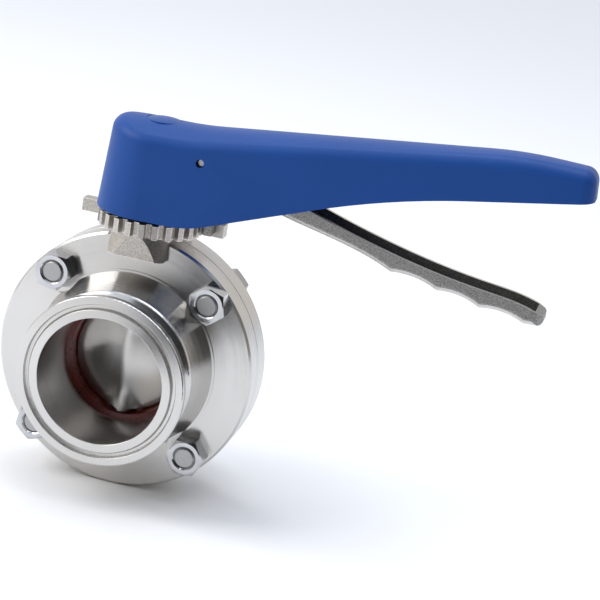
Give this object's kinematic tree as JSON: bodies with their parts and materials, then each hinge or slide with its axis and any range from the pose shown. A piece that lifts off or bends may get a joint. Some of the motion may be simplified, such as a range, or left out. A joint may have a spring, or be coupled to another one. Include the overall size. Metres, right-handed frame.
{
  "type": "butterfly valve",
  "caption": "Clamp-ferrule butterfly valve: turned split body, red seat, steel disc, notched position plate and a blue lever handle with a squeeze trigger.",
  "frame": {"origin": "on the pipe axis at the valve's mid plane, where the stem axis crosses it", "axes": "+X along the handle, +Y along the pipe from the front port to the rear port, +Z along the stem, up to the handle"},
  "size_m": [0.2082, 0.076, 0.1547],
  "materials": {
    "body_steel": "turned satin stainless",
    "disc_steel": "fine satin stainless",
    "plate_steel": "cast and tumbled stainless",
    "bolt_steel": "bright stainless",
    "trigger_steel": "cast stainless with polished rims",
    "insert_steel": "machined stainless",
    "spring_steel": "drawn wire",
    "seat_rubber": "dark red silicone",
    "seal_rubber": "black rubber",
    "bush_plastic": "white bearing plastic",
    "handle_plastic": "fine-grained blue nylon",
    "cap_plastic": "fine-grained blue nylon"
  },
  "bodies": {
    "valve_body": {"front_body": "body_steel", "rear_body": "body_steel", "seat": "seat_rubber", "upper_bushing": "bush_plastic", "lower_bushing": "bush_plastic", "stem_seal": "seal_rubber", "position_plate": "plate_steel", "bolt_1": "bolt_steel", "nut_1": "bolt_steel", "bolt_2": "bolt_steel", "nut_2": "bolt_steel", "bolt_3": "bolt_steel", "nut_3": "bolt_steel", "bolt_4": "bolt_steel", "nut_4": "bolt_steel"},
    "handle": {"disc": "disc_steel", "handle_shell": "handle_plastic", "handle_insert": "insert_steel", "handle_screw": "bolt_steel", "flat_washer": "bolt_steel", "spring_washer": "spring_steel", "cap_plug": "cap_plastic", "trigger_pin": "bolt_steel", "trigger_spring": "spring_steel"},
    "trigger": {"trigger": "trigger_steel"}
  },
  "joints": [
    {"name": "stem_turn", "type": "hinge", "parent": "valve_body", "child": "handle", "pos_m": [0, 0, 0], "axis": [0, 0, 1], "range_deg": [-90, 0]},
    {"name": "trigger_squeeze", "type": "hinge", "parent": "handle", "child": "trigger", "pos_m": [0.0197, 0, 0.0813], "axis": [0, -1, 0], "range_deg": [-3, 9], "stiffness_Nm_per_rad": 2, "springref_deg": -12.03, "deforming": ["trigger_spring"]}
  ]
}
